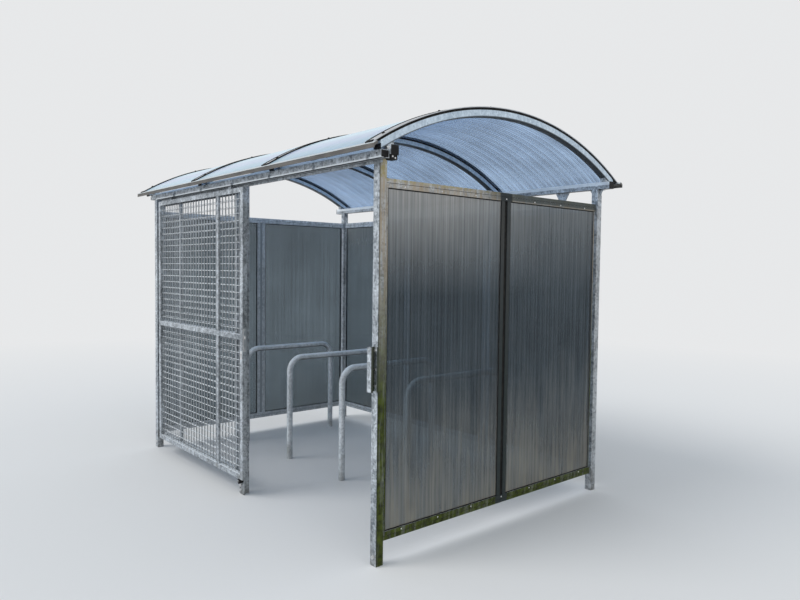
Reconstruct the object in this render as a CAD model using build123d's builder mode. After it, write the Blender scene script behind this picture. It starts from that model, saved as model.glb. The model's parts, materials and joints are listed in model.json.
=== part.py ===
from build123d import *
from math import asin, degrees, floor, sqrt
import os

# Bike shelter: a galvanised steel frame with multiwall sheets on three sides, a barrel roof
# on four ribs, a fixed mesh panel and a sliding mesh gate in front, and four parking hoops.
# Millimetres. +Z is up, the doorway faces -Y, and the origin is on the ground under the
# middle of the roof. The gate is drawn open, in front of the fixed panel.

# Posts and beams
length = 3145.0              # along X, over the corner posts
depth = 2060.0               # along Y, over the corner posts
post_size = 50.0
post_height = 2190.0
tube_wall = 3.0              # of the posts and beams
gate_post_inset = 1507.0     # from the right posts' outer faces to the gate post
beam_height = 50.0
beam_overhang = 90.0         # past the corner posts
cap_thickness = 5.0
cap_depth = 20.0             # how far the caps reach into their tubes
cap_clearance = 0.25
foot_hole_diameter = 11.0    # in the outer wall of each corner post
foot_hole_height = 48.0
head_flare = 30.0            # of a gusset past each side of a back post's head
head_height = 45.0
head_plate = 6.0
strut_inset = 320.0          # from the right posts' outer faces to the strut's middle
strut_width = 63.0
strut_head_height = 55.0

# Roof
rise = 280.0                 # of the ribs' underside, from the beams to the crown
rib_width = 50.0
rib_height = 40.0
rib_count = 4
rib_inset = 30.0             # from the beams' ends to the end ribs
rib_overhang = 44.0          # of the ribs past the posts, along Y
plug_thickness = 3.0         # of the plates that close the ribs' ends
saddle_width = 40.0
gasket_thickness = 3.0
roof_sheet_thickness = 10.0
roof_sheet_joint = 12.0      # between neighbouring sheets, under a cover strip
roof_sheet_inset = 6.0       # from an end rib's outer side to the roof's side edge
eave_overhang = 105.0        # of the sheets past the posts, along Y
strip_width = 60.0
strip_thickness = 5.0
strip_end_gap = 3.0          # between a cover strip and the eave profile
eave_flange = 22.0
eave_wall = 2.0
eave_web = 4.0
sheet_clearance = 0.25       # round every sheet in its seat

# Walls
wall_recess = 15.0           # of the walls behind the posts' outer faces
wall_thickness = 20.0
wall_sheet_thickness = 10.0
wall_rail_height = 25.0
clamp_height = 25.0          # of the clamp strips beside the rails
clamp_relief = 2.0           # of the clamp strips proud of the rails
wall_drop = 106.0            # from the posts' heads down to the walls' upper edges
wall_bottom = 125.0
post_gap = 13.0              # between a post and the edge strip beside it
edge_strip = 9.0
edge_groove = 6.0
upright_width = 30.0
upright_groove = 15.0
joint_width = 25.0
side_bays = 2
back_bays = 3

# Mesh panels
mesh_pitch = 50.0
wire = 5.0
panel_bottom = 125.0
panel_gap = 20.0             # between the gate track and the panels
panel_mid_height = 1120.0
gate_tube = 35.0
gate_width = 1512.0
gate_overlap = 79.0          # of the open gate past the gate post's right face
gate_upright_inset = 388.0   # from the gate's closing edge to its inner upright's middle
fixed_tube = 30.0
fixed_inset = 10.0           # from the posts' front faces to the fixed panel
fixed_gap = 60.0             # between the fixed panel and the posts beside it
fixed_upright_inset = 415.0  # from the fixed panel's left edge to its inner upright's middle
bracket_height = 40.0
bracket_thickness = 5.0
bracket_rise = 175.0         # from the fixed panel's lower edge to its lower brackets
bracket_drop = 210.0         # from its upper edge to its upper brackets

# Gate track, hangers, lock and guide
track_depth = 55.0
track_height = 42.0
track_drop = 20.0            # from the posts' heads down to the track's lower side
track_wall = 3.0
track_slot = 16.0
track_inset = 175.0          # from the left posts' outer faces to the track
track_overhang = 77.0        # past the right posts' outer faces
stop_length = 30.0
stop_clearance = 0.25
hanger_inset = 220.0         # from the gate's ends to its hangers
hanger_length = 46.0
hanger_thickness = 6.0
hanger_cover = 10.0          # of a hanger above its wheels' middles
wheel_diameter = 30.0
wheel_width = 16.0
running_gap = 0.5            # under the gate's wheels
lock_height = 1100.0
lock_length = 160.0
lock_width = 24.0
lock_thickness = 3.0
latch_length = 24.0          # of the openings for the latch and the bolt
latch_width = 14.0
latch_rise = 19.0            # of the latch over the lock's middle
bolt_drop = 55.0             # of the bolt under the lock's middle
strike_width = 36.0
strike_depth = 50.0
strike_drop = 150.0          # from the lock's middle down to the strike box's lower end
strike_length = 240.0
strike_slot = 24.0           # open along the strike box's outer side
strike_overhang = 8.0        # past the right posts' outer faces
strike_wall = 3.0
guide_roller_diameter = 38.0
guide_roller_width = 28.0
guide_gap = 1.0              # between the guide roller and the gate
guide_bore_clearance = 0.2
guide_axle_diameter = 12.0
guide_inset = 1492.5         # from the right posts' outer faces to the roller's middle
guide_plate_width = 60.0
guide_plate_thickness = 6.0
guide_plate_cover = 15.0     # of the guide plate past its axle
guide_nut = 19.0
guide_nut_thickness = 8.0

# Parking hoops
hoop_diameter = 48.3
hoop_sides = 12
hoop_height = 850.0          # to the tube's middle
hoop_length = 930.0          # between the legs' middles
hoop_bend = 115.0
hoop_spacing = 748.0
hoop_inset = 585.0           # from the right posts' outer faces to the last hoop
hoop_setback = 730.0         # from the posts' front faces to the front legs

# Places worked out from the sizes above
right_face = length / 2
front_face = -depth / 2
post_x = right_face - post_size / 2
post_y = depth / 2 - post_size / 2
gate_post_x = right_face - gate_post_inset - post_size / 2
beam_top = post_height + beam_height
beam_end = right_face + beam_overhang
crown_underside = beam_top + rise
rib_radius = ((depth / 2) ** 2 + rise**2) / (2 * rise)
roof_centre_z = crown_underside - rib_radius
rib_top_radius = rib_radius + rib_height
sheet_radius = rib_top_radius + gasket_thickness
sheet_top_radius = sheet_radius + roof_sheet_thickness
end_rib_x = beam_end - rib_inset - rib_width / 2
rib_spacing = 2 * end_rib_x / (rib_count - 1)
rib_places = [-end_rib_x + i * rib_spacing for i in range(rib_count)]
rib_end_y = depth / 2 + rib_overhang
roof_side = end_rib_x + rib_width / 2 - roof_sheet_inset
eave_angle = degrees(asin((depth / 2 + eave_overhang) / sheet_radius))
rib_angle = degrees(asin(rib_end_y / rib_top_radius))
strip_angle = eave_angle - degrees((eave_flange + strip_end_gap) / sheet_radius)
gate_y = front_face - track_depth / 2
gate_right = right_face - gate_post_inset + gate_overlap
gate_left = gate_right - gate_width
gate_upright_x = gate_right - gate_upright_inset
fixed_left = post_size - right_face + fixed_gap
fixed_right = gate_post_x - post_size / 2 - fixed_gap
fixed_upright_x = fixed_left + fixed_upright_inset
fixed_y = front_face + fixed_inset + fixed_tube / 2
wall_top = post_height - wall_drop
track_bottom = post_height - track_drop
panel_top = track_bottom - panel_gap
bracket_levels = (panel_bottom + bracket_rise, panel_mid_height, panel_top - bracket_drop)
strike_bottom = lock_height - strike_drop
track_left = track_inset - right_face
track_right = right_face + track_overhang
track_inner_height = track_height - 2 * track_wall
track_inner_depth = track_depth - 2 * track_wall
wheel_z = track_bottom + track_wall + running_gap + wheel_diameter / 2
strike_x = right_face + strike_overhang - strike_width / 2
guide_x = right_face - guide_inset
guide_z = panel_bottom - guide_gap - guide_roller_diameter / 2

os.makedirs("parts", exist_ok=True)


def save(piece, name):
    """Label a finished piece and write it as one STEP file."""
    piece.part.label = name
    export_step(piece.part, f"parts/{name}.step")


# Posts
def post(x, y, flared=False, drilled=True):
    """A square tube post, with a flared head or a hole low in its outer wall."""
    with BuildPart() as tube:
        with BuildSketch(Plane.XY):
            with Locations((x, y)):
                Rectangle(post_size, post_size)
        extrude(amount=post_height)
        if flared:
            with BuildSketch(Plane.XZ.offset(-y - head_plate / 2)):
                with Locations((x, post_height)):
                    Polygon(
                        (-post_size / 2 - head_flare, 0),
                        (post_size / 2 + head_flare, 0),
                        (post_size / 2, -head_height),
                        (-post_size / 2, -head_height),
                        align=None,
                    )
            extrude(amount=head_plate)
        with BuildSketch(Plane.XY):
            with Locations((x, y)):
                Rectangle(post_size - 2 * tube_wall, post_size - 2 * tube_wall)
        extrude(amount=post_height, mode=Mode.SUBTRACT)
        if drilled:
            with BuildSketch(Plane.XZ.offset(-y)):
                with Locations((x, foot_hole_height)):
                    Circle(foot_hole_diameter / 2)
            outward = post_size if y < 0 else -post_size
            extrude(amount=outward, mode=Mode.SUBTRACT)
    return tube


save(post(-post_x, -post_y), "front_left_post")
save(post(post_x, -post_y), "front_right_post")
save(post(-post_x, post_y, flared=True), "back_left_post")
save(post(post_x, post_y, flared=True), "back_right_post")
save(post(gate_post_x, -post_y, drilled=False), "gate_post")


# Beams, their caps, and the short flared strut from the back beam to the wall below it
def beam(y):
    """A square tube beam along X, on the posts' heads."""
    with BuildPart() as tube:
        with BuildSketch(Plane.YZ.offset(-beam_end)):
            with Locations((y, post_height + beam_height / 2)):
                Rectangle(post_size, beam_height)
                Rectangle(
                    post_size - 2 * tube_wall,
                    beam_height - 2 * tube_wall,
                    mode=Mode.SUBTRACT,
                )
        extrude(amount=2 * beam_end)
    return tube


save(beam(-post_y), "front_beam")
save(beam(post_y), "back_beam")

with BuildPart() as beam_caps:
    beam_z = post_height + beam_height / 2
    tongue_margin = 2 * (tube_wall + cap_clearance)
    for side in (-1, 1):
        with BuildSketch(Plane.YZ.offset(side * beam_end)):
            with Locations((-post_y, beam_z), (post_y, beam_z)):
                Rectangle(post_size, beam_height)
        extrude(amount=side * cap_thickness)
        with BuildSketch(Plane.YZ.offset(side * beam_end)):
            with Locations((-post_y, beam_z), (post_y, beam_z)):
                Rectangle(post_size - tongue_margin, beam_height - tongue_margin)
        extrude(amount=-side * cap_depth)
save(beam_caps, "beam_caps")

with BuildPart() as back_strut:
    wall_middle_y = depth / 2 - wall_recess - wall_thickness / 2
    with BuildSketch(Plane.XZ.offset(-wall_middle_y - head_plate / 2)):
        with Locations((right_face - strut_inset, post_height)):
            Polygon(
                (-strut_width / 2 - head_flare, 0),
                (strut_width / 2 + head_flare, 0),
                (strut_width / 2, -strut_head_height),
                (strut_width / 2, wall_top - post_height),
                (-strut_width / 2, wall_top - post_height),
                (-strut_width / 2, -strut_head_height),
                align=None,
            )
    extrude(amount=head_plate)
save(back_strut, "back_strut")


# Roof. Outlines are drawn with the sketch's x along Y and its y along Z.
def arc_band(inner, outer, half_angle):
    """A band between two roof arcs, half_angle degrees to each side of the crown."""
    centre = (0, roof_centre_z)
    with BuildSketch() as band:
        with BuildLine():
            low_arc = CenterArc(centre, inner, 90 - half_angle, 2 * half_angle)
            high_arc = CenterArc(centre, outer, 90 - half_angle, 2 * half_angle)
            Line(low_arc @ 0, high_arc @ 0)
            Line(low_arc @ 1, high_arc @ 1)
        make_face()
    return band.sketch_local


def upright_cut(band, half_span):
    """The same band, cut off upright at half_span to each side of the middle."""
    with BuildSketch() as trimmed:
        add(band)
        with Locations((0, crown_underside)):
            Rectangle(2 * half_span, 2 * crown_underside, mode=Mode.INTERSECT)
    return trimmed.sketch_local


def along_x(outline, lefts, width):
    """A piece with the same outline all along X, once from each place in lefts."""
    with BuildPart() as piece:
        for left in lefts:
            with BuildSketch(Plane.YZ.offset(left)):
                add(outline)
            extrude(amount=width)
    return piece


rib_lefts = [x - rib_width / 2 for x in rib_places]
rib_outline = upright_cut(arc_band(rib_radius, rib_top_radius, eave_angle), rib_end_y)
for number, left in enumerate(rib_lefts, start=1):
    save(along_x(rib_outline, [left], rib_width), f"rib_{number}")

# Plates that close the ribs' ends
end_low = roof_centre_z + sqrt(rib_radius**2 - rib_end_y**2)
end_high = roof_centre_z + sqrt(rib_top_radius**2 - rib_end_y**2)
with BuildPart() as rib_plugs:
    for side in (-1, 1):
        with BuildSketch(Plane.XZ.offset(-side * rib_end_y)):
            with Locations(*[(x, (end_low + end_high) / 2) for x in rib_places]):
                Rectangle(rib_width, end_high - end_low)
        extrude(amount=-side * plug_thickness)
save(rib_plugs, "rib_plugs")

# Wedge saddles between the beams and the ribs
with BuildPart() as rib_saddles:
    for x in rib_places:
        with BuildSketch(Plane.YZ.offset(x - saddle_width / 2)):
            with Locations((-post_y, beam_top), (post_y, beam_top)):
                Rectangle(post_size, rise, align=(Align.CENTER, Align.MIN))
            with Locations((0, roof_centre_z)):
                Circle(rib_radius, mode=Mode.INTERSECT)
        extrude(amount=saddle_width)
save(rib_saddles, "rib_saddles")

# Sheets, butted over the ribs
sheet_outline = arc_band(sheet_radius, sheet_top_radius, eave_angle)
sheet_edges = [-roof_side]
for x in rib_places[1:-1]:
    sheet_edges += [x - roof_sheet_joint / 2, x + roof_sheet_joint / 2]
sheet_edges.append(roof_side)
for number, left in enumerate(sheet_edges[::2], start=1):
    width = sheet_edges[2 * number - 1] - left
    save(along_x(sheet_outline, [left], width), f"roof_sheet_{number}")

# Rubber gaskets under the sheets, and the cover strips that press the sheets down
gasket_outline = upright_cut(arc_band(rib_top_radius, sheet_radius, eave_angle), rib_end_y)
save(along_x(gasket_outline, rib_lefts, rib_width), "rib_gaskets")

strip_lefts = [x - strip_width / 2 for x in rib_places]
strip_outline = arc_band(sheet_top_radius, sheet_top_radius + strip_thickness, strip_angle)
save(along_x(strip_outline, strip_lefts, strip_width), "cover_strips")

# Channels that close the sheets' lower ends
eave_low = sheet_radius - sheet_clearance - eave_wall
eave_high = sheet_top_radius + sheet_clearance + eave_wall
eave_outer_angle = eave_angle + degrees((eave_web + sheet_clearance) / sheet_radius)
eave_inner_angle = eave_angle - degrees(eave_flange / sheet_radius)
eave_seat_angle = eave_angle + degrees(sheet_clearance / sheet_radius)
for side, name in ((-1, "front_eave_profile"), (1, "back_eave_profile")):
    with BuildPart() as eave_profile:
        with BuildSketch(Plane.YZ.offset(-roof_side)):
            add(arc_band(eave_low, eave_high, eave_outer_angle))
            add(
                arc_band(eave_low + eave_wall, eave_high - eave_wall, eave_seat_angle),
                mode=Mode.SUBTRACT,
            )
            add(
                arc_band(eave_low - eave_wall, eave_high + eave_wall, eave_inner_angle),
                mode=Mode.SUBTRACT,
            )
            with Locations((side * depth / 2, roof_centre_z)):
                Rectangle(depth, 2 * eave_high, mode=Mode.INTERSECT)
        extrude(amount=2 * roof_side)
    save(eave_profile, name)


# Walls. Each is drawn from inside, with the sketch's y along Z and its normal outward.
def bay_spans(width, bays):
    """Each bay's clear opening and sheet, as (left, right, sheet left, sheet right)."""
    spans = []
    for bay in range(bays):
        left = bay * width / bays - width / 2
        right = left + width / bays
        first = bay == 0
        last = bay == bays - 1
        left += post_gap + edge_strip if first else joint_width / 2 + upright_width
        right -= post_gap + edge_strip if last else joint_width / 2 + upright_width
        sheet_left = left - (edge_groove if first else upright_groove)
        sheet_right = right + (edge_groove if last else upright_groove)
        spans.append((left, right, sheet_left, sheet_right))
    return spans


def joint_places(width, bays):
    """Where a wall's joints between neighbouring bays lie."""
    return [i * width / bays - width / 2 for i in range(1, bays)]


clear_bottom = wall_bottom + wall_rail_height + clamp_height
clear_top = wall_top - wall_rail_height - clamp_height
clear_middle = (clear_bottom + clear_top) / 2
clear_height = clear_top - clear_bottom
sheet_bottom = wall_bottom + wall_rail_height
sheet_top = wall_top - wall_rail_height
sheet_inset = (wall_thickness - wall_sheet_thickness) / 2


def wall_frame(plane, width, bays):
    """Rails, clamp strips, uprights and edge strips, grooved for the sheets."""
    with BuildPart() as frame:
        with BuildSketch(plane):
            with Locations((0, (wall_bottom + wall_top) / 2)):
                Rectangle(width, wall_top - wall_bottom)
            gaps = [(x, clear_middle) for x in joint_places(width, bays)]
            if gaps:
                with Locations(*gaps):
                    Rectangle(joint_width, clear_height, mode=Mode.SUBTRACT)
            side_gap_x = (width - post_gap) / 2
            with Locations((-side_gap_x, clear_middle), (side_gap_x, clear_middle)):
                Rectangle(post_gap, clear_height, mode=Mode.SUBTRACT)
            for left, right, _, _ in bay_spans(width, bays):
                with Locations(((left + right) / 2, clear_middle)):
                    Rectangle(right - left, clear_height, mode=Mode.SUBTRACT)
        extrude(amount=wall_thickness)
        with BuildSketch(plane.offset(-clamp_relief)):
            with Locations((0, clear_bottom), (0, sheet_top)):
                Rectangle(width, clamp_height, align=(Align.CENTER, Align.MAX))
        extrude(amount=wall_thickness + 2 * clamp_relief)
        with BuildSketch(plane.offset(sheet_inset - sheet_clearance)):
            for _, _, left, right in bay_spans(width, bays):
                with Locations(((left + right) / 2, clear_middle)):
                    Rectangle(
                        right - left + 2 * sheet_clearance,
                        sheet_top - sheet_bottom + 2 * sheet_clearance,
                    )
        extrude(amount=wall_sheet_thickness + 2 * sheet_clearance, mode=Mode.SUBTRACT)
    return frame


def wall_sheets(plane, width, bays):
    """The sheets of one wall, upright in their frame's grooves."""
    with BuildPart() as sheets:
        with BuildSketch(plane.offset(sheet_inset)):
            for _, _, left, right in bay_spans(width, bays):
                with Locations(((left + right) / 2, clear_middle)):
                    Rectangle(right - left, sheet_top - sheet_bottom)
        extrude(amount=wall_sheet_thickness)
    return sheets


side_width = depth - 2 * post_size
back_width = length - 2 * post_size
side_wall_x = right_face - wall_recess - wall_thickness
back_wall_y = depth / 2 - wall_recess - wall_thickness
walls = {
    "left": (Plane((-side_wall_x, 0, 0), (0, -1, 0), (-1, 0, 0)), side_width, side_bays),
    "right": (Plane((side_wall_x, 0, 0), (0, 1, 0), (1, 0, 0)), side_width, side_bays),
    "back": (Plane((0, back_wall_y, 0), (-1, 0, 0), (0, 1, 0)), back_width, back_bays),
}
for name, (plane, width, bays) in walls.items():
    save(wall_frame(plane, width, bays), f"{name}_wall_frame")
    save(wall_sheets(plane, width, bays), f"{name}_wall_sheets")

with BuildPart() as wall_joint_strips:
    for plane, width, bays in walls.values():
        with BuildSketch(plane.offset(sheet_inset)):
            with Locations(*[(x, clear_middle) for x in joint_places(width, bays)]):
                Rectangle(joint_width, clear_height)
        extrude(amount=wall_sheet_thickness)
save(wall_joint_strips, "wall_joint_strips")


# Mesh panels: a frame of square tubes, filled with two layers of welded wires that meet in
# its middle plane. The inner upright stands before that plane, and the back layer passes it.
def panel_columns(left, right, tube, upright_x):
    """The clear widths beside a panel's inner upright, as (left, right)."""
    return ((left + tube, upright_x - tube / 2), (upright_x + tube / 2, right - tube))


def panel_rows(tube):
    """The clear heights under and over a panel's middle rail, as (bottom, top)."""
    return (
        (panel_bottom + tube, panel_mid_height - tube / 2),
        (panel_mid_height + tube / 2, panel_top - tube),
    )


def panel_frame(left, right, y, tube, upright_x):
    """A panel's frame about the plane at y."""
    middle = ((left + right) / 2, (panel_bottom + panel_top) / 2)
    with BuildPart() as frame:
        with BuildSketch(Plane.XZ.offset(-y)):
            with Locations(middle):
                Rectangle(right - left, panel_top - panel_bottom)
            for bottom, top in panel_rows(tube):
                with Locations((middle[0], (bottom + top) / 2)):
                    Rectangle(right - left - 2 * tube, top - bottom, mode=Mode.SUBTRACT)
        extrude(amount=tube / 2, both=True)
        with BuildSketch(Plane.XZ.offset(-y)):
            with Locations((upright_x, middle[1])):
                Rectangle(tube, panel_top - panel_bottom)
        extrude(amount=tube / 2)
    return frame


def mesh_uprights(left, right, y, tube, upright_x):
    """The front layer of a panel's mesh: upright wires between the frame's rails."""
    with BuildPart() as wires:
        with BuildSketch(Plane.XZ.offset(-y)):
            for x0, x1 in panel_columns(left, right, tube, upright_x):
                for bottom, top in panel_rows(tube):
                    with Locations(((x0 + x1) / 2, (bottom + top) / 2)):
                        with GridLocations(mesh_pitch, 0, floor((x1 - x0) / mesh_pitch), 1):
                            Rectangle(wire, top - bottom)
        extrude(amount=wire)
    return wires


def mesh_crosswires(left, right, y, tube):
    """The back layer of a panel's mesh: level wires from side to side of the frame."""
    with BuildPart() as wires:
        with BuildSketch(Plane.XZ.offset(-y)):
            for bottom, top in panel_rows(tube):
                with Locations(((left + right) / 2, (bottom + top) / 2)):
                    with GridLocations(0, mesh_pitch, 1, floor((top - bottom) / mesh_pitch)):
                        Rectangle(right - left - 2 * tube, wire)
        extrude(amount=-wire)
    return wires


# Fixed panel, held to the posts beside it by flat brackets
fixed_frame = panel_frame(fixed_left, fixed_right, fixed_y, fixed_tube, fixed_upright_x)
fixed_uprights = mesh_uprights(fixed_left, fixed_right, fixed_y, fixed_tube, fixed_upright_x)
with BuildPart() as fixed_panel_frame:
    add(fixed_frame.part)
    with BuildSketch(Plane.XZ.offset(-fixed_y)):
        for z in bracket_levels:
            for x in (fixed_left - fixed_gap / 2, fixed_right + fixed_gap / 2):
                with Locations((x, z)):
                    Rectangle(fixed_gap, bracket_height)
    extrude(amount=bracket_thickness / 2, both=True)
save(fixed_panel_frame, "fixed_panel_frame")
save(fixed_uprights, "fixed_mesh_uprights")
save(mesh_crosswires(fixed_left, fixed_right, fixed_y, fixed_tube), "fixed_mesh_crosswires")

# Sliding gate
gate_frame = panel_frame(gate_left, gate_right, gate_y, gate_tube, gate_upright_x)
gate_uprights = mesh_uprights(gate_left, gate_right, gate_y, gate_tube, gate_upright_x)
save(gate_frame, "gate_frame")
save(gate_uprights, "gate_mesh_uprights")
save(mesh_crosswires(gate_left, gate_right, gate_y, gate_tube), "gate_mesh_crosswires")

# Hangers: a plate through the track's slot, with a wheel at each side of it
hanger_places = (gate_left + hanger_inset, gate_right - hanger_inset)
hanger_height = wheel_z + hanger_cover - panel_top
with BuildPart() as gate_hangers:
    with BuildSketch(Plane.XZ.offset(-gate_y)):
        with Locations(*[(x, panel_top) for x in hanger_places]):
            Rectangle(hanger_length, hanger_height, align=(Align.CENTER, Align.MIN))
    extrude(amount=hanger_thickness / 2, both=True)
    with BuildSketch(Plane.XZ.offset(-gate_y)):
        with Locations(*[(x, wheel_z) for x in hanger_places]):
            Circle(wheel_diameter / 2)
    extrude(amount=hanger_thickness / 2 + wheel_width, both=True)
save(gate_hangers, "gate_hangers")

# Lock plate on the gate's closing edge, and the open box that takes its latch and bolt
latch_places = ((gate_y, lock_height + latch_rise), (gate_y, lock_height - bolt_drop))
with BuildPart() as gate_lock:
    with BuildSketch(Plane.YZ.offset(gate_right)):
        with Locations((gate_y, lock_height)):
            Rectangle(lock_width, lock_length)
        with Locations(*latch_places):
            Rectangle(latch_width, latch_length, mode=Mode.SUBTRACT)
    extrude(amount=lock_thickness)
save(gate_lock, "gate_lock")

with BuildPart() as strike_box:
    with BuildSketch(Plane.XY.offset(strike_bottom)):
        with Locations((strike_x, front_face - strike_depth / 2)):
            Rectangle(strike_width, strike_depth)
            Rectangle(
                strike_width - 2 * strike_wall,
                strike_depth - 2 * strike_wall,
                mode=Mode.SUBTRACT,
            )
        with Locations((strike_x + strike_width / 2, front_face - strike_depth / 2)):
            Rectangle(2 * strike_wall, strike_slot, mode=Mode.SUBTRACT)
    extrude(amount=strike_length)
    with BuildSketch(Plane.YZ.offset(strike_x - strike_width / 2)):
        with Locations(*latch_places):
            Rectangle(latch_width, latch_length)
    extrude(amount=strike_wall, mode=Mode.SUBTRACT)
save(strike_box, "strike_box")

# Track, open below, on the front beam's face
with BuildPart() as gate_track:
    with BuildSketch(Plane.YZ.offset(track_left)):
        with Locations((gate_y, track_bottom + track_height / 2)):
            Rectangle(track_depth, track_height)
            Rectangle(track_inner_depth, track_inner_height, mode=Mode.SUBTRACT)
        with Locations((gate_y, track_bottom)):
            Rectangle(
                track_slot, track_wall, align=(Align.CENTER, Align.MIN), mode=Mode.SUBTRACT
            )
    extrude(amount=track_right - track_left)
save(gate_track, "gate_track")

with BuildPart() as track_stops:
    for left in (track_left, track_right - stop_length):
        with BuildSketch(Plane.YZ.offset(left)):
            with Locations((gate_y, track_bottom + track_height / 2)):
                Rectangle(
                    track_inner_depth - 2 * stop_clearance,
                    track_inner_height - 2 * stop_clearance,
                )
        extrude(amount=stop_length)
save(track_stops, "track_stops")

# Guide under the gate's bottom rail: a plate on the gate post with a roller on its axle
plate_front = front_face - guide_plate_thickness
roller_back = gate_y + guide_roller_width / 2
roller_front = gate_y - guide_roller_width / 2
with BuildPart() as guide_bracket:
    with BuildSketch(Plane.XZ.offset(-front_face)):
        with Locations((guide_x + guide_plate_cover, 0)):
            Rectangle(
                guide_plate_width,
                guide_z + guide_plate_cover,
                align=(Align.MAX, Align.MIN),
            )
    extrude(amount=guide_plate_thickness)
    with BuildSketch(Plane.XZ.offset(-plate_front)):
        with Locations((guide_x, guide_z)):
            Circle(guide_axle_diameter / 2)
    extrude(amount=plate_front - roller_front)
    with BuildSketch(Plane.XZ.offset(-roller_front)):
        with Locations((guide_x, guide_z)):
            RegularPolygon(guide_nut / 2, 6, major_radius=False)
    extrude(amount=guide_nut_thickness)
save(guide_bracket, "guide_bracket")

with BuildPart() as guide_roller:
    with BuildSketch(Plane.XZ.offset(-roller_back)):
        with Locations((guide_x, guide_z)):
            Circle(guide_roller_diameter / 2)
            Circle(guide_axle_diameter / 2 + guide_bore_clearance, mode=Mode.SUBTRACT)
    extrude(amount=guide_roller_width)
save(guide_roller, "guide_roller")

# Parking hoops: bent tubes, drawn solid and with a few flat sides, as many as stand clear of
# the left wall
hoop_front = front_face + hoop_setback
hoop_last_x = right_face - hoop_inset
hoop_room = hoop_last_x + side_wall_x - hoop_diameter / 2
hoop_count = floor(hoop_room / hoop_spacing) + 1
for number in range(1, hoop_count + 1):
    x = hoop_last_x - (hoop_count - number) * hoop_spacing
    with BuildPart() as hoop:
        with BuildLine(Plane.YZ.offset(x)) as route:
            FilletPolyline(
                (hoop_front, 0),
                (hoop_front, hoop_height),
                (hoop_front + hoop_length, hoop_height),
                (hoop_front + hoop_length, 0),
                radius=hoop_bend,
            )
        with BuildSketch(Plane.XY):
            with Locations((x, hoop_front)):
                RegularPolygon(hoop_diameter / 2, hoop_sides, rotation=180 / hoop_sides)
        sweep(path=route.line)
    save(hoop, f"hoop_{number}")
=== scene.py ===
import json
import math

import bmesh
import bpy
from mathutils import Matrix, Vector


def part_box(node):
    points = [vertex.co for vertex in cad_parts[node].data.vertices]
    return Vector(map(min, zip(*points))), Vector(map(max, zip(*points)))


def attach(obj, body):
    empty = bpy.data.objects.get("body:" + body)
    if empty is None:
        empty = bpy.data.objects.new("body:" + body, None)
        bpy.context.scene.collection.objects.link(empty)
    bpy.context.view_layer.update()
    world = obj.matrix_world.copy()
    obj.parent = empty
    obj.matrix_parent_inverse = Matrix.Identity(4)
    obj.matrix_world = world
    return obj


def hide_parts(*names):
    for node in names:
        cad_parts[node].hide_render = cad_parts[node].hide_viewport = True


# Bike shelter: finishes, welded mesh, hoops, multiwall sheets, gaskets, fixings and light, set
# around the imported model. Metres, in the model's own frame: +X along the front towards the
# doorway's end, +Y to the back, +Z up.

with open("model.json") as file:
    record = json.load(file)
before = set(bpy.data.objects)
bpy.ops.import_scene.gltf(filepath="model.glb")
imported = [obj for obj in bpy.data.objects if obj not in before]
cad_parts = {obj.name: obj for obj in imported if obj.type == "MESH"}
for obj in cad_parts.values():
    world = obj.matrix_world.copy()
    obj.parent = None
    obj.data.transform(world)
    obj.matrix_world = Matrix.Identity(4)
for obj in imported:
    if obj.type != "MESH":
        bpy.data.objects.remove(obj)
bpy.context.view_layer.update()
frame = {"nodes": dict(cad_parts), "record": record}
nodes = frame["nodes"]
scene = bpy.context.scene

# Camera, solved from the photograph's straight edges
CAMERA_PLACE = (4.3194, -3.2395, 1.600)
CAMERA_YAW = 49.3372
CAMERA_PITCH = -2.6065
CAMERA_ROLL = 0.6624
CAMERA_LENS = 30.125
CAMERA_SENSOR = 36.0

# Studio
PALE = (0.80, 0.81, 0.82, 1.0)
SKY_LIGHT = (0.88, 0.94, 1.0, 1)
SKY_STRENGTH = 0.62
FLOOR_SIZE = 160.0
FLOOR_FADE = (3.5, 11.0)

# Sizes of the real pieces, in metres
WIRE_RADIUS = 0.0025
WIRE_SIDES = 8
HOOP_COUNT = 4
HOOP_RADIUS = 0.02415
HOOP_BEND = 0.115
HOOP_SIDES = 40
BEND_STEPS = 18
FLUTE_PITCH = 0.010
SHEET_THICKNESS = 0.010
WEB_THICKNESS = 0.0006
ROOF_SHEETS = 3
ARCH_STEPS = 48
RIB_COUNT = 4
RIB_HEIGHT = 0.040
RIB_GASKET = 0.003
STRIP_WIDTH = 0.060
STRIP_THICKNESS = 0.005
RAIL_HEIGHT = 0.025
CLAMP_HEIGHT = 0.025
CLAMP_RELIEF = 0.002
EDGE_GROOVE = 0.006
UPRIGHT_GROOVE = 0.015
OUTERMOST_REACH = 0.050  # a pane nearer than this to its frame's end is the outermost
BRACKET_LEVELS = (0.300, 1.120, 1.940)
BRACKET_LENGTH = 0.060
BRACKET_THICKNESS = 0.005
GUIDE_PLATE_THICKNESS = 0.006
GUIDE_BOLT_LEVELS = (0.028, 0.062)
GUIDE_BOLT_INSET = 0.016
BEAM_BOLT_INSET = 0.025
BEAM_BOLT_DROP = 0.017
GATE_TUBE = 0.035
TRACK_BOLTS = 7
TRACK_BOLT_START = -1.01
TRACK_BOLT_PITCH = 0.51
STRIP_SCREWS = 6
RIVET_PITCH = 0.3
DOME_SIDES = 20
LATCH_RISE = 0.019
BOLT_DROP = 0.055
KEY_DROP = 0.105
DRIP = 0.012
CAP_BAND = (0.004, 0.030)
SINK = 0.0005  # how far a fixing's foot goes into the surface under it
BEVEL_WIDTH = 0.0012
WELD_DISTANCE = 0.00005
UP = Vector((0, 0, 1))

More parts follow.
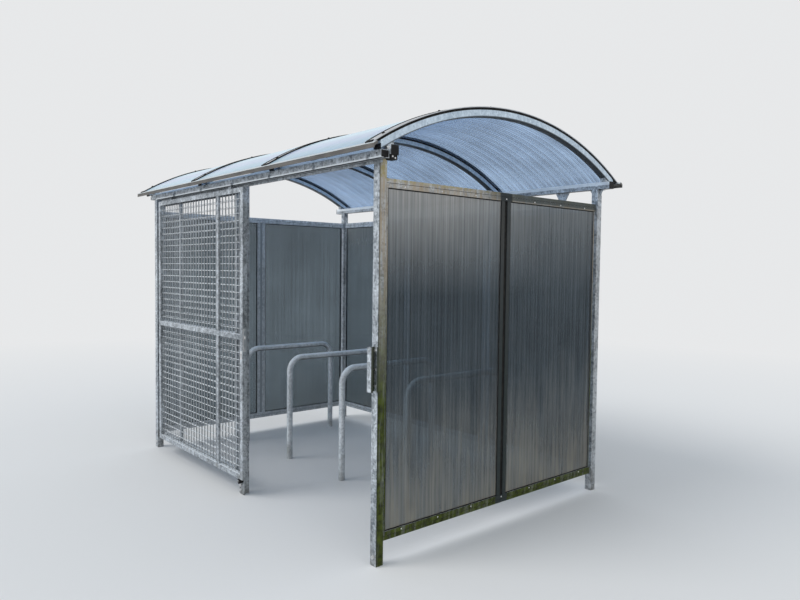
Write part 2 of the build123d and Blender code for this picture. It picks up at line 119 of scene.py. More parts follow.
# Colours of metal, dirt and growth, and of painted highlights, shade and reflections
DARK_ZINC = (0.18, 0.205, 0.23, 1)
LIGHT_ZINC = (0.68, 0.735, 0.79, 1)
HIGHLIGHT_ZINC = (0.87, 0.93, 0.98, 1)
TOP_LIGHT_ZINC = (0.88, 0.94, 1.0, 1)
BROWN_SIDE_SHADE = (0.21, 0.195, 0.165, 1)
FOOT_GRIME = (0.15, 0.135, 0.11, 1)
UNDERSIDE_SHADE = (0.028, 0.028, 0.028, 1)
RIB_EDGE_SHADE = (0.03, 0.036, 0.042, 1)
LIME = (0.42, 0.345, 0.25, 1)
DARK_ALGAE = (0.019, 0.025, 0.005, 1)
LIGHT_ALGAE = (0.068, 0.09, 0.012, 1)
LICHEN = (0.36, 0.31, 0.12, 1)
RAIL_SHADE = (0.045, 0.06, 0.062, 1)
JOINT_SHADE = (0.026, 0.034, 0.038, 1)
EDGE_SHADE = (0.022, 0.03, 0.022, 1)
WALL_DUST = (0.34, 0.305, 0.235, 1)
CHALK = (0.52, 0.49, 0.45, 1)
PAINTED_SKY_REFLECTION = (0.55, 0.77, 0.91, 1)
EAVE_REFLECTION = (0.5, 0.62, 0.82, 1)
EAVE_REFLECTION_TINT = (0.84, 0.93, 1.0, 1)
PALE_DUST = (0.06, 0.058, 0.052, 1)
BLACK = (0.006, 0.006, 0.006, 1)

# Heights between which they begin or end
# Painted highlights: light bands along the beams' and the track's edges
BEAM_HIGHLIGHT_BANDS = ((2.168, 2.178), (2.216, 2.242))
BAND_EDGE = 0.002
SIDE_SHADE_END = (2.03, 2.06)
FOOT_END = (0.0, 0.16)
LIME_RISE = (1.1, 1.9)
ALGAE_FADE = (0.9, 1.75)
LICHEN_START = (2.064, 2.078)
RAIL_SHADE_START = (2.03, 2.045)
DUST_END = (0.15, 1.0)
CHALK_START = (1.45, 2.12)

# The same along Y, and for the joint and the eaves' painted reflection band, from the middle
RAIL_SHADE_REACH = (-0.4, 0.1)
FRONT_EDGE = (-1.026, -1.022)
CHALK_FADE = (-0.5, 0.4)
JOINT_REACH = (0.052, 0.06)
EAVE_REFLECTION_START = (0.86, 0.93)
EAVE_REFLECTION_END = (1.0, 1.05)

# How a sheet's tone varies: the weights of a flute's own tone, lines, bands, streaks and
# patches, the range of their sum, the streaks' frequency along the flutes, and the share of
# plastic where the sheet is dark and where it is light
WALL_TONES = ((0.5, 0.45, 0.25, 0.5, 0.85), (0.79, 1.76), 3.0, (0.82, 1.15))
ROOF_TONES = ((0.9, 0.25, 0.1, 0.1, 1.2), (0.95, 1.6), 0.8, (1.5, 0.6))
GOLDEN_SHARE = 0.618034


def make_camera():
    """The camera at the photograph's place and angle."""
    data = bpy.data.cameras.new("camera")
    data.sensor_width = CAMERA_SENSOR
    data.lens = CAMERA_LENS
    camera = bpy.data.objects.new("camera", data)
    scene.collection.objects.link(camera)
    turn = (
        Matrix.Rotation(math.radians(CAMERA_YAW), 4, "Z")
        @ Matrix.Rotation(math.radians(90 + CAMERA_PITCH), 4, "X")
        @ Matrix.Rotation(math.radians(CAMERA_ROLL), 4, "Z")
    )
    camera.matrix_world = Matrix.Translation(CAMERA_PLACE) @ turn
    scene.camera = camera


# Materials


def new_tree(name):
    """An empty material and its node tree."""
    material = bpy.data.materials.new(name)
    material.use_nodes = True
    material.node_tree.nodes.clear()
    return material, material.node_tree


def node(tree, kind, inputs=None, **settings):
    """A shader node. An input given as a socket is linked, and any other value is set."""
    made = tree.nodes.new(kind)
    for key, value in settings.items():
        setattr(made, key, value)
    for key, value in (inputs or {}).items():
        socket = made.inputs[key]
        if isinstance(value, bpy.types.NodeSocket):
            tree.links.new(value, socket)
        else:
            socket.default_value = value
    return made


def calc(tree, operation, first, second=0.0, third=0.0):
    """The result of one sum on numbers or sockets."""
    inputs = {0: first, 1: second, 2: third}
    return node(tree, "ShaderNodeMath", inputs, operation=operation).outputs[0]


def product(tree, result, *others):
    """Values multiplied in turn."""
    for other in others:
        result = calc(tree, "MULTIPLY", result, other)
    return result


def total(tree, *terms):
    """The sum of values, each with its own weight."""
    result = 0.0
    for value, weight in terms:
        result = calc(tree, "MULTIPLY_ADD", value, weight, result)
    return result


def place(tree, scale=(1.0, 1.0, 1.0)):
    """The surface's place in the model's frame, in metres, stretched by scale."""
    coordinates = node(tree, "ShaderNodeTexCoord").outputs["Object"]
    return node(tree, "ShaderNodeMapping", {"Vector": coordinates, "Scale": scale}).outputs[0]


def part_of(tree, vector, axis):
    """One of a vector's three parts."""
    return node(tree, "ShaderNodeSeparateXYZ", {0: vector}).outputs[axis]


def facing(tree):
    """The direction that the surface faces."""
    return node(tree, "ShaderNodeNewGeometry").outputs["Normal"]


def outward(tree, normal):
    """Above zero where a face looks away from the shelter's middle."""
    inputs = {0: normal, 1: place(tree, (1.0, 1.0, 0.0))}
    made = node(tree, "ShaderNodeVectorMath", inputs, operation="DOT_PRODUCT")
    return made.outputs["Value"]


def noise(tree, vector, scale, detail, roughness=0.55):
    """Smooth noise, from 0 to 1."""
    inputs = {"Vector": vector, "Scale": scale, "Detail": detail, "Roughness": roughness}
    return node(tree, "ShaderNodeTexNoise", inputs).outputs["Fac"]


def straight_noise(tree, along):
    """Smooth noise that changes along one value alone, from 0 to 1."""
    inputs = {"W": along, "Scale": 1.0, "Detail": 2.0, "Roughness": 0.6}
    return node(tree, "ShaderNodeTexNoise", inputs, noise_dimensions="1D").outputs["Fac"]


def ramp(tree, value, low, high, to_low=0.0, to_high=1.0):
    """The value mapped from one range to another, and held at its ends."""
    inputs = {
        "Value": value,
        "From Min": low,
        "From Max": high,
        "To Min": to_low,
        "To Max": to_high,
    }
    return node(tree, "ShaderNodeMapRange", inputs).outputs["Result"]


def mix(tree, factor, first, second):
    """Two colours mixed by a factor."""
    made = node(tree, "ShaderNodeMix", data_type="RGBA")
    for name, value in (("Factor_Float", factor), ("A_Color", first), ("B_Color", second)):
        target = next(s for s in made.inputs if s.identifier == name)
        if isinstance(value, bpy.types.NodeSocket):
            tree.links.new(value, target)
        else:
            target.default_value = value
    return next(s for s in made.outputs if s.identifier == "Result_Color")


def shaded(colour, share=1.0):
    """A darker or lighter tone of a colour, with its alpha."""
    return tuple(c * share for c in colour[:3]) + (1.0,)


def bump_of(tree, height, strength, distance):
    """A bumped normal."""
    inputs = {"Height": height, "Strength": strength, "Distance": distance}
    return node(tree, "ShaderNodeBump", inputs).outputs[0]


def principled(tree, colour, metallic, rough, bump, specular=0.5):
    """One surface with the material's output."""
    inputs = {
        "Base Color": colour,
        "Metallic": metallic,
        "Roughness": rough,
        "Normal": bump,
        "Specular IOR Level": specular,
    }
    surface = node(tree, "ShaderNodeBsdfPrincipled", inputs)
    node(tree, "ShaderNodeOutputMaterial", {"Surface": surface.outputs[0]})


def see_through(tree, tint, colour, rough, share):
    """A tinted clear surface with a share of plain plastic, and the material's output."""
    clear = node(tree, "ShaderNodeBsdfTransparent", {"Color": tint}).outputs[0]
    inputs = {"Base Color": colour, "Roughness": rough}
    body = node(tree, "ShaderNodeBsdfPrincipled", inputs).outputs[0]
    surface = node(tree, "ShaderNodeMixShader", {0: share, 1: clear, 2: body})
    node(tree, "ShaderNodeOutputMaterial", {"Surface": surface.outputs[0]})


def spangles(tree, spot):
    """The crystals of a zinc coat, each with its own tone."""
    wobble = node(tree, "ShaderNodeTexNoise", {"Vector": spot, "Scale": 60.0, "Detail": 2.0})
    inputs = {0: wobble.outputs["Color"], "Scale": 0.012}
    bent = node(tree, "ShaderNodeVectorMath", inputs, operation="SCALE").outputs[0]
    moved = node(tree, "ShaderNodeVectorMath", {0: spot, 1: bent}, operation="ADD").outputs[0]
    cells = node(tree, "ShaderNodeTexVoronoi", {"Vector": moved, "Scale": 85.0})
    return node(tree, "ShaderNodeSeparateColor", {"Color": cells.outputs["Color"]}).outputs[0]


def growth(tree, spot, toward_x, colour):
    """Lime, algae and lichen on the side that faces +X. Gives the colour and the algae's
    share."""
    height = part_of(tree, spot, "Z")
    streaks = noise(tree, place(tree, (60.0, 60.0, 5.0)), 1.0, 5.0)
    lime = calc(tree, "MULTIPLY", toward_x, ramp(tree, streaks, 0.35, 0.6, 0.1, 0.85))
    lime = calc(tree, "MULTIPLY", lime, ramp(tree, height, *LIME_RISE, 0.6, 1.0))
    colour = mix(tree, lime, colour, LIME)
    fade = ramp(tree, height, *ALGAE_FADE, 1.0, 0.05)
    cover = product(tree, fade, ramp(tree, streaks, 0.3, 0.5, 0.7, 1.0), toward_x)
    tone = ramp(tree, noise(tree, spot, 34.0, 4.0), 0.35, 0.65)
    colour = mix(tree, cover, colour, mix(tree, tone, DARK_ALGAE, LIGHT_ALGAE))
    lichen = ramp(tree, noise(tree, spot, 55.0, 4.0), 0.42, 0.58, 0.0, 0.7)
    lichen = product(tree, lichen, ramp(tree, height, *LICHEN_START), toward_x)
    return mix(tree, lichen, colour, LICHEN), cover


def wall_shade(tree, spot, toward_x, colour):
    """Painted shade on the right wall: along its top rail, at its joint and at its front edge."""
    along = part_of(tree, spot, "Y")
    rail = ramp(tree, part_of(tree, spot, "Z"), *RAIL_SHADE_START)
    rail = product(tree, toward_x, rail, ramp(tree, along, *RAIL_SHADE_REACH, 0.0, 0.88))
    colour = mix(tree, rail, colour, RAIL_SHADE)
    joint = ramp(tree, calc(tree, "ABSOLUTE", along), *JOINT_REACH, 0.92, 0.0)
    colour = mix(tree, joint, colour, JOINT_SHADE)
    edge = calc(tree, "MULTIPLY", ramp(tree, along, *FRONT_EDGE, 0.72, 0.0), toward_x)
    return mix(tree, edge, colour, EDGE_SHADE)


def galvanised(
    name,
    dark,
    light,
    algae_and_shade=False,
    highlight_bands=(),
    top_light=0.0,
    metallic=0.7,
    side_shade=0.3,
    low_edge=None,
):
    """Hot-dip galvanised steel: spangle, mottles and soft runs, with dirt at the foot and painted
    shade underneath. Highlight bands are the heights of painted highlights along edges, top
    light is how much lighter the upper side is painted (a painted highlight), and side shade is
    how brown the side that faces +X is painted under the walls' top (painted shade and
    reflection). Algae grow on that side, thickest low down, and the same switch adds the right
    wall's painted shade. Low edge is the centre's height and the radius of a bent bar's lower
    edge, which is painted with shade."""
    material, tree = new_tree(name)
    spot = place(tree)
    spangle = spangles(tree, spot)
    mottles = noise(tree, spot, 32.0, 3.0)
    patches = noise(tree, spot, 7.0, 4.0)
    runs = noise(tree, place(tree, (38.0, 38.0, 3.0)), 1.0, 3.0)
    grain = noise(tree, spot, 520.0, 2.0)
    level = total(
        tree, (spangle, 0.45), (mottles, 0.65), (patches, 0.8), (runs, 0.65), (grain, 0.15)
    )
    colour = mix(tree, ramp(tree, level, 1.02, 1.68), dark, light)

    height = part_of(tree, spot, "Z")
    normal = facing(tree)
    toward_x = ramp(tree, part_of(tree, normal, "X"), 0.4, 0.8)
    # Painted shade and reflection: the side that faces +X darker and browner below the walls' top
    brown = calc(tree, "MULTIPLY", toward_x, ramp(tree, height, *SIDE_SHADE_END, side_shade, 0.0))
    colour = mix(tree, brown, colour, BROWN_SIDE_SHADE)
    # Painted highlights: light bands at the given heights, where edges catch the light
    for low, high in highlight_bands:
        above = ramp(tree, height, low, low + BAND_EDGE)
        below = ramp(tree, height, high, high + BAND_EDGE, 1.0, 0.0)
        colour = mix(tree, product(tree, above, below, 0.85), colour, HIGHLIGHT_ZINC)
    # Painted highlight: upper faces lighter and less metallic, as if lit from above
    if top_light:
        up = ramp(tree, part_of(tree, normal, "Z"), 0.25, 0.9, 0.0, top_light)
        colour = mix(tree, up, colour, TOP_LIGHT_ZINC)
        metallic = calc(tree, "MULTIPLY_ADD", up, -0.6 * metallic, metallic)
    wave = ramp(tree, noise(tree, spot, 11.0, 5.0), 0.3, 0.7, -0.1, 0.1)
    foot = ramp(tree, calc(tree, "ADD", height, wave), *FOOT_END, 0.5, 0.0)
    colour = mix(tree, foot, colour, FOOT_GRIME)
    # Painted shade: faces that look down are darkened
    under = ramp(tree, part_of(tree, normal, "Z"), -0.8, -0.2, 0.9, 0.0)
    colour = mix(tree, under, colour, UNDERSIDE_SHADE)
    # Painted shade along a bent bar's lower edge
    if low_edge:
        centre_z, radius = low_edge
        inputs = {0: place(tree, (0.0, 1.0, 1.0)), 1: (0.0, 0.0, centre_z)}
        away = node(tree, "ShaderNodeVectorMath", inputs, operation="DISTANCE").outputs["Value"]
        edge_shade = ramp(tree, away, radius + 0.004, radius + 0.007, 0.85, 0.0)
        colour = mix(tree, edge_shade, colour, RIB_EDGE_SHADE)
    rough = ramp(tree, calc(tree, "ADD", spangle, grain), 0.4, 1.5, 0.36, 0.6)
    specular = 0.5
    if algae_and_shade:
        colour, cover = growth(tree, spot, toward_x, colour)
        # The right wall's painted shade, beside the algae
        colour = wall_shade(tree, spot, toward_x, colour)
        metallic = calc(tree, "MULTIPLY_ADD", cover, -metallic, metallic)
        rough = calc(tree, "MULTIPLY_ADD", cover, 0.35, rough)
        specular = 0.25
    principled(tree, colour, metallic, rough, bump_of(tree, level, 0.2, 0.0012), specular)
    return material


def multiwall(name, clear, haze, cover, axis, dirt=0.0):
    """The skins of a multiwall sheet: see-through, tinted, with its own tone in each flute, and a
    painted sheen at grazing angles. A wall's sheet has dust low down and chalky streaks under its
    top rail. A roof sheet, which has no dirt, has a painted sky reflection on its outer side and a
    painted reflection band near each eave."""
    material, tree = new_tree(name)
    spot = place(tree)
    across = part_of(tree, spot, axis)
    weights, spread, along, plastic = WALL_TONES if dirt else ROOF_TONES
    number = calc(tree, "FLOOR", calc(tree, "DIVIDE", across, FLUTE_PITCH))
    own = calc(tree, "FRACT", calc(tree, "MULTIPLY", number, GOLDEN_SHARE))
    lines = straight_noise(tree, calc(tree, "MULTIPLY", across, 75.0))
    bands = straight_noise(tree, calc(tree, "MULTIPLY", across, 9.0))
    stretch = {"X": (45.0, 0.8, along), "Y": (0.8, 45.0, along)}[axis]
    streaks = noise(tree, place(tree, stretch), 1.0, 4.0, 0.6)
    patches = noise(tree, spot, 1.6, 4.0)
    level = total(tree, *zip((own, lines, bands, streaks, patches), weights))
    level = ramp(tree, level, *spread)
    tint = mix(tree, level, shaded(clear, 0.76), shaded(clear, 1.1))
    colour = mix(tree, level, shaded(haze, 0.6), shaded(haze, 1.35))
    share = ramp(tree, level, 0.0, 1.0, *(cover * part for part in plastic))
    geometry = node(tree, "ShaderNodeNewGeometry").outputs
    normal = geometry["Normal"]
    front = calc(tree, "SUBTRACT", 1.0, geometry["Backfacing"])
    # Painted sheen: more of the plain plastic at grazing angles on front faces
    fresnel = node(tree, "ShaderNodeFresnel", {"IOR": 1.5}).outputs[0]
    grazing_sheen = calc(tree, "MULTIPLY", fresnel, front)
    if dirt:
        height = part_of(tree, spot, "Z")
        wave = ramp(tree, noise(tree, place(tree, (9.0, 9.0, 1.2)), 1.0, 5.0), 0.3, 0.7, -0.2, 0.2)
        low = ramp(tree, calc(tree, "ADD", height, wave), *DUST_END, 1.0, 0.0)
        dust = calc(tree, "MULTIPLY", low, ramp(tree, streaks, 0.3, 0.7, 0.45, 1.0))
        colour = mix(tree, dust, colour, WALL_DUST)
        share = calc(tree, "MULTIPLY_ADD", dust, dirt, share)
        chalk = ramp(tree, calc(tree, "ADD", streaks, lines), 0.6, 1.4, 0.6, 1.0)
        chalk = calc(tree, "MULTIPLY", chalk, ramp(tree, across, *CHALK_FADE, 1.0, 0.45))
        chalk = calc(tree, "MULTIPLY", ramp(tree, height, *CHALK_START), chalk)
        colour = mix(tree, chalk, colour, CHALK)
        share = calc(tree, "MULTIPLY_ADD", chalk, dirt * 1.8, share)
        side = ramp(tree, outward(tree, normal), -0.2, 0.2, 0.5, 1.0)
        share = calc(tree, "MULTIPLY_ADD", grazing_sheen, 0.4, calc(tree, "MULTIPLY", share, side))
    else:
        # Painted reflection: the sky's colour on the roof's upward outer faces at grazing angles
        outer = ramp(tree, part_of(tree, normal, "Z"), -0.2, 0.2, 0.35, 1.25)
        sky_reflection = calc(tree, "MULTIPLY", grazing_sheen, outer)
        colour = mix(tree, ramp(tree, sky_reflection, 0.1, 0.5), colour, PAINTED_SKY_REFLECTION)
        # Painted reflection: a light blue band near each eave
        depth = calc(tree, "ABSOLUTE", part_of(tree, spot, "Y"))
        eave_reflection = calc(tree, "SUBTRACT", ramp(tree, depth, *EAVE_REFLECTION_START), ramp(tree, depth, *EAVE_REFLECTION_END))
        colour = mix(tree, eave_reflection, colour, EAVE_REFLECTION)
        tint = mix(tree, calc(tree, "MULTIPLY", eave_reflection, 0.3), tint, EAVE_REFLECTION_TINT)
        share = total(tree, (sky_reflection, 1.0), (eave_reflection, 0.08), (share, 1.0))
    share = node(tree, "ShaderNodeClamp", {"Value": share}).outputs[0]
    see_through(tree, tint, colour, 0.22, share)
    return material


def web_plastic(name, clear, haze, cover):
    """The thin webs inside a multiwall sheet."""
    material, tree = new_tree(name)
    cloud = noise(tree, place(tree), 3.0, 4.0)
    share = ramp(tree, cloud, 0.3, 0.7, cover * 0.6, cover * 1.4)
    see_through(tree, shaded(clear), shaded(haze), 0.4, share)
    return material


def dark_part(name, colour, rough, scale, inner=None):
    """Black plastic or rubber: fine grain, and dust in patches. Inner is the colour of the
    faces that look inwards."""
    material, tree = new_tree(name)
    spot = place(tree)
    dust = ramp(tree, noise(tree, spot, scale, 5.0), 0.45, 0.75, 0.0, 0.3)
    shade = mix(tree, dust, colour, PALE_DUST)
    if inner:
        side = ramp(tree, outward(tree, facing(tree)), -0.2, 0.2, 1.0, 0.0)
        shade = mix(tree, side, shade, inner)
    grain = noise(tree, spot, 900.0, 2.0)
    rough_part = ramp(tree, grain, 0.3, 0.7, rough, rough + 0.15)
    principled(tree, shade, 0.0, rough_part, bump_of(tree, grain, 0.2, 0.0004), 0.2)
    return material


def brushed(name, dark, light, along, rough, lit_top=None):
    """Mill finish or plated metal, with fine lines along one direction. Lit top is the colour of
    its upper faces, painted lighter as a painted highlight."""
    material, tree = new_tree(name)
    spot = place(tree)
    lines = noise(tree, place(tree, along), 1.0, 4.0, 0.7)
    stains = noise(tree, spot, 9.0, 5.0)
    level = total(tree, (lines, 0.5), (stains, 0.5))
    colour = mix(tree, ramp(tree, level, 0.3, 0.7), dark, light)
    # Painted highlight on the upper faces
    if lit_top:
        up = ramp(tree, part_of(tree, facing(tree), "Z"), 0.3, 0.6, 0.0, 0.9)
        colour = mix(tree, up, colour, lit_top)
    rough_part = ramp(tree, stains, 0.3, 0.7, rough, rough + 0.18)
    principled(tree, colour, 0.85, rough_part, bump_of(tree, lines, 0.15, 0.0005))
    return material


# The upper-face value in these calls paints a highlight on the upper faces
STEEL = galvanised("galvanised_steel", DARK_ZINC, LIGHT_ZINC, top_light=0.9)
GREEN_STEEL = galvanised("galvanised_steel_with_algae", DARK_ZINC, LIGHT_ZINC, algae_and_shade=True)
BEAM_STEEL = galvanised("galvanised_beam", DARK_ZINC, LIGHT_ZINC, highlight_bands=BEAM_HIGHLIGHT_BANDS)
# The inner wall frames: the same galvanised steel, painted lighter and less metallic, standing in
# for light
PALE_STEEL = galvanised(
    "galvanised_wall_frame", (0.40, 0.44, 0.48, 1), (0.84, 0.89, 0.94, 1), top_light=0.9, metallic=0.3
)
# The hoops: the same galvanised steel, painted much lighter and barely metallic, standing in for
# light
TUBE_STEEL = galvanised(
    "galvanised_hoop", (0.50, 0.55, 0.60, 1), (0.90, 0.95, 1.0, 1), top_light=1.0, metallic=0.05
)
# The cross wires: the same wire as the uprights, painted much lighter with a painted highlight on
# top
CROSS_WIRE = galvanised(
    "galvanised_crosswire", (0.66, 0.70, 0.74, 1), (0.92, 0.95, 0.97, 1), top_light=0.8, metallic=0.15
)
UPRIGHT_WIRE = galvanised("galvanised_upright_wire", (0.24, 0.26, 0.28, 1), (0.6, 0.64, 0.68, 1))

ALONG_X = (4, 300, 300)
ALONG_Z = (300, 300, 8)
ALUMINIUM = brushed(
    "aluminium_profile", (0.40, 0.42, 0.45, 1), (0.70, 0.72, 0.75, 1), ALONG_X, 0.36
)
# The eave profiles: aluminium painted dark brown-grey as painted shade, with a painted highlight
# on top
EAVE_PROFILE = brushed(
    "shaded_eave_profile",
    (0.06, 0.062, 0.065, 1),
    (0.25, 0.24, 0.225, 1),
    ALONG_X,
    0.45,
    (0.6, 0.66, 0.7, 1),
)
BRIGHT = brushed("bright_steel", (0.55, 0.56, 0.57, 1), (0.85, 0.85, 0.85, 1), ALONG_Z, 0.22)
PLASTIC = dark_part("black_plastic", (0.006, 0.006, 0.007, 1), 0.45, 35.0)
RUBBER = dark_part("black_rubber", BLACK, 0.65, 25.0)
PANE_RUBBER = dark_part("pane_rubber", BLACK, 0.65, 25.0, (0.06, 0.066, 0.07, 1))
JOINT_RUBBER = dark_part("joint_rubber", BLACK, 0.65, 25.0, (0.30, 0.33, 0.35, 1))

SMOKE = (0.44, 0.485, 0.515)
SMOKE_HAZE = (0.25, 0.29, 0.32)
SIDE_SHEET = multiwall("side_wall_sheet", SMOKE, SMOKE_HAZE, 0.17, "Y", 0.42)
BACK_SHEET = multiwall("back_wall_sheet", SMOKE, SMOKE_HAZE, 0.17, "X", 0.42)
WALL_WEB = web_plastic("wall_sheet_web", (0.86, 0.88, 0.89), (0.3, 0.33, 0.35), 0.05)
SKY_BLUE = (0.73, 0.825, 0.935)
ROOF_SHEET = multiwall("roof_multiwall_sheet", SKY_BLUE, (0.38, 0.48, 0.63), 0.12, "X")
ROOF_WEB = web_plastic("roof_sheet_web", (0.95, 0.965, 0.985), (0.6, 0.68, 0.8), 0.02)

BY_SLOT = {
    "galvanised_steel": STEEL,
    "aluminium_profile": ALUMINIUM,
    "bright_steel": BRIGHT,
    "wall_multiwall_sheet": SIDE_SHEET,
    "roof_multiwall_sheet": ROOF_SHEET,
    "black_plastic": PLASTIC,
    "black_rubber": RUBBER,
}
BY_NODE = {
    "front_right_post": GREEN_STEEL,
    "right_wall_frame": GREEN_STEEL,
    "strike_box": GREEN_STEEL,
    "left_wall_frame": PALE_STEEL,
    "back_wall_frame": PALE_STEEL,
    "wall_joint_strips": JOINT_RUBBER,
    "front_beam": BEAM_STEEL,
    "back_beam": BEAM_STEEL,
    "gate_track": BEAM_STEEL,
    "front_eave_profile": EAVE_PROFILE,
    "back_eave_profile": EAVE_PROFILE,
}
REPLACED = ("_sheets", "roof_sheet", "hoop_", "_uprights", "_crosswires")


def numbered(stem, count):
    """The names of a row of like nodes."""
    return [f"{stem}_{number}" for number in range(1, count + 1)]


RIBS = numbered("rib", RIB_COUNT)


def rib_steel():
    """The ribs' steel, paler than the rest, with painted shade along the lower edge."""
    centre_z, radius, _ = roof_arc()
    low_edge = (centre_z, radius - SHEET_THICKNESS - RIB_GASKET - RIB_HEIGHT)
    dark, light = (0.42, 0.52, 0.62, 1), (0.70, 0.81, 0.91, 1)
    return galvanised("galvanised_rib", dark, light, metallic=0.3, side_shade=0.0, low_edge=low_edge)


def dress_frame():
    """Every node of the model gets its finish, and the metal ones a softened edge."""
    BY_NODE.update(dict.fromkeys(RIBS, rib_steel()))
    for part in frame["record"]["subparts"]:
        name = part["node"]
        piece = nodes[name]
        finish = BY_NODE.get(name, BY_SLOT[part["material_slot"]])
        piece.data.materials.clear()
        piece.data.materials.append(finish)
        if any(word in name for word in REPLACED):
            continue
        weld = piece.modifiers.new("weld", "WELD")
        weld.merge_threshold = WELD_DISTANCE
        bevel = piece.modifiers.new("bevel", "BEVEL")
        bevel.limit_method = "ANGLE"
        bevel.angle_limit = math.radians(50)
        bevel.width = BEVEL_WIDTH
        bevel.segments = 2


# Shapes


class Shape:
    """Points and faces gathered for one piece."""

    def __init__(self):
        self.points = []
        self.faces = []
        self.finish = 0
        self.finishes = []

    def ring(self, points):
        """Adds a ring of points and says where they are."""
        first = len(self.points)
        self.points.extend(points)
        return list(range(first, first + len(points)))

    def face(self, corners):
        """One face with the current finish."""
        self.faces.append(tuple(corners))
        self.finishes.append(self.finish)

    def bridge(self, low, high):
        """Faces between two rings of equal count."""
        count = len(low)
        for i in range(count):
            j = (i + 1) % count
            self.face((low[i], low[j], high[j], high[i]))

    def loft(self, rings, closed=False):
        """A skin through rings of points, with its ends capped or joined to each other."""
        placed = [self.ring(points) for points in rings]
        for low, high in zip(placed, placed[1:]):
            self.bridge(low, high)
        if closed:
            self.bridge(placed[-1], placed[0])
        else:
            self.face(reversed(placed[0]))
            self.face(placed[-1])

    def box(self, low, high):
        """An upright box."""
        (x0, y0, z0), (x1, y1, z1) = low, high
        self.loft([[(x0, y0, z), (x1, y0, z), (x1, y1, z), (x0, y1, z)] for z in (z0, z1)])

    def lathe(self, centre, axis, profile, sides):
        """A profile of (radius, distance along the axis) turned about the axis."""
        along = Vector(axis).normalized()
        side = along.cross(UP) if abs(along.z) < 0.9 else Vector((1, 0, 0))
        side.normalize()
        across = along.cross(side)
        rings = []
        for radius, distance in profile:
            middle = Vector(centre) + along * distance
            angles = [2 * math.pi * i / sides for i in range(sides)]
            rings.append([
                tuple(middle + radius * (math.cos(a) * side + math.sin(a) * across))
                for a in angles
            ])
        self.loft(rings)

    def arch(self, x0, x1, inner, outer, half_angle, centre_z):
        """A band from x0 to x1 between two radii, bent over the roof's arc."""
        self.bend(x0, x1, inner, outer, (-half_angle, half_angle), centre_z, ARCH_STEPS)

    def bend(self, x0, x1, inner, outer, angles, centre_z, steps=2):
        """A band from x0 to x1 between two radii and between two angles from the crown."""
        rings = []
        for i in range(steps + 1):
            a = angles[0] + (angles[1] - angles[0]) * i / steps
            y, z = math.sin(a), math.cos(a)
            rings.append([
                (x0, inner * y, centre_z + inner * z),
                (x1, inner * y, centre_z + inner * z),
                (x1, outer * y, centre_z + outer * z),
                (x0, outer * y, centre_z + outer * z),
            ])
        self.loft(rings)

    def rim(self, axis, level, out, span, heights, profile):
        """A mitred strip round an upright opening. The profile is (inward, outward)."""
        corners = ((0, 0, 1, 1), (1, 0, -1, 1), (1, 1, -1, -1), (0, 1, 1, -1))
        rings = []
        for i, j, toward, rise in corners:
            ring = []
            for inward, proud in profile:
                point = [0.0, 0.0, heights[j] + rise * inward]
                point[axis] = level + out * proud
                point[1 - axis] = span[i] + toward * inward
                ring.append(tuple(point))
            rings.append(ring)
        self.loft(rings, closed=True)

    def make(self, name, finishes, body, replaces=(), smooth=None):
        """The finished piece, riding on its body."""
        mesh = bpy.data.meshes.new(name)
        mesh.from_pydata(self.points, [], self.faces)
        for finish in finishes:
            mesh.materials.append(finish)
        mesh.polygons.foreach_set("material_index", self.finishes)
        work = bmesh.new()
        work.from_mesh(mesh)
        bmesh.ops.recalc_face_normals(work, faces=work.faces)
        work.to_mesh(mesh)
        work.free()
        if smooth:
            mesh.shade_smooth()
            mesh.set_sharp_from_angle(angle=math.radians(smooth))
        piece = bpy.data.objects.new(name, mesh)
        scene.collection.objects.link(piece)
        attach(piece, body)
        if replaces:
            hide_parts(*replaces)


def solids(name):
    """The boxes of a node's separate solids, found from its connected faces."""
    mesh = nodes[name].data
    key = {}
    for vertex in mesh.vertices:
        key.setdefault(tuple(round(c, 5) for c in vertex.co), []).append(vertex.index)
    parent = list(range(len(mesh.vertices)))

    def root(i):
        while parent[i] != i:
            parent[i] = parent[parent[i]]
            i = parent[i]
        return i

    for same in key.values():
        for other in same[1:]:
            parent[root(other)] = root(same[0])
    for face in mesh.polygons:
        for other in face.vertices[1:]:
            parent[root(other)] = root(face.vertices[0])
    groups = {}
    for vertex in mesh.vertices:
        groups.setdefault(root(vertex.index), []).append(vertex.co)
    boxes = []
    for points in groups.values():
        low = Vector([min(p[i] for p in points) for i in range(3)])
        high = Vector([max(p[i] for p in points) for i in range(3)])
        boxes.append((low, high))
    return sorted(boxes, key=lambda b: tuple(b[0]))


# Mesh and hoops


def round_wires(node_name, axis, body, finish):
    """Round welded wires in place of a node's square ones."""
    shape = Shape()
    direction = [0, 0, 0]
    direction[axis] = 1
    for low, high in solids(node_name):
        start = (low + high) / 2
        start[axis] = low[axis]
        length = high[axis] - low[axis]
        shape.lathe(start, direction, [(WIRE_RADIUS, 0), (WIRE_RADIUS, length)], WIRE_SIDES)
    shape.make(node_name + "_round", [finish], body, (node_name,), 40)


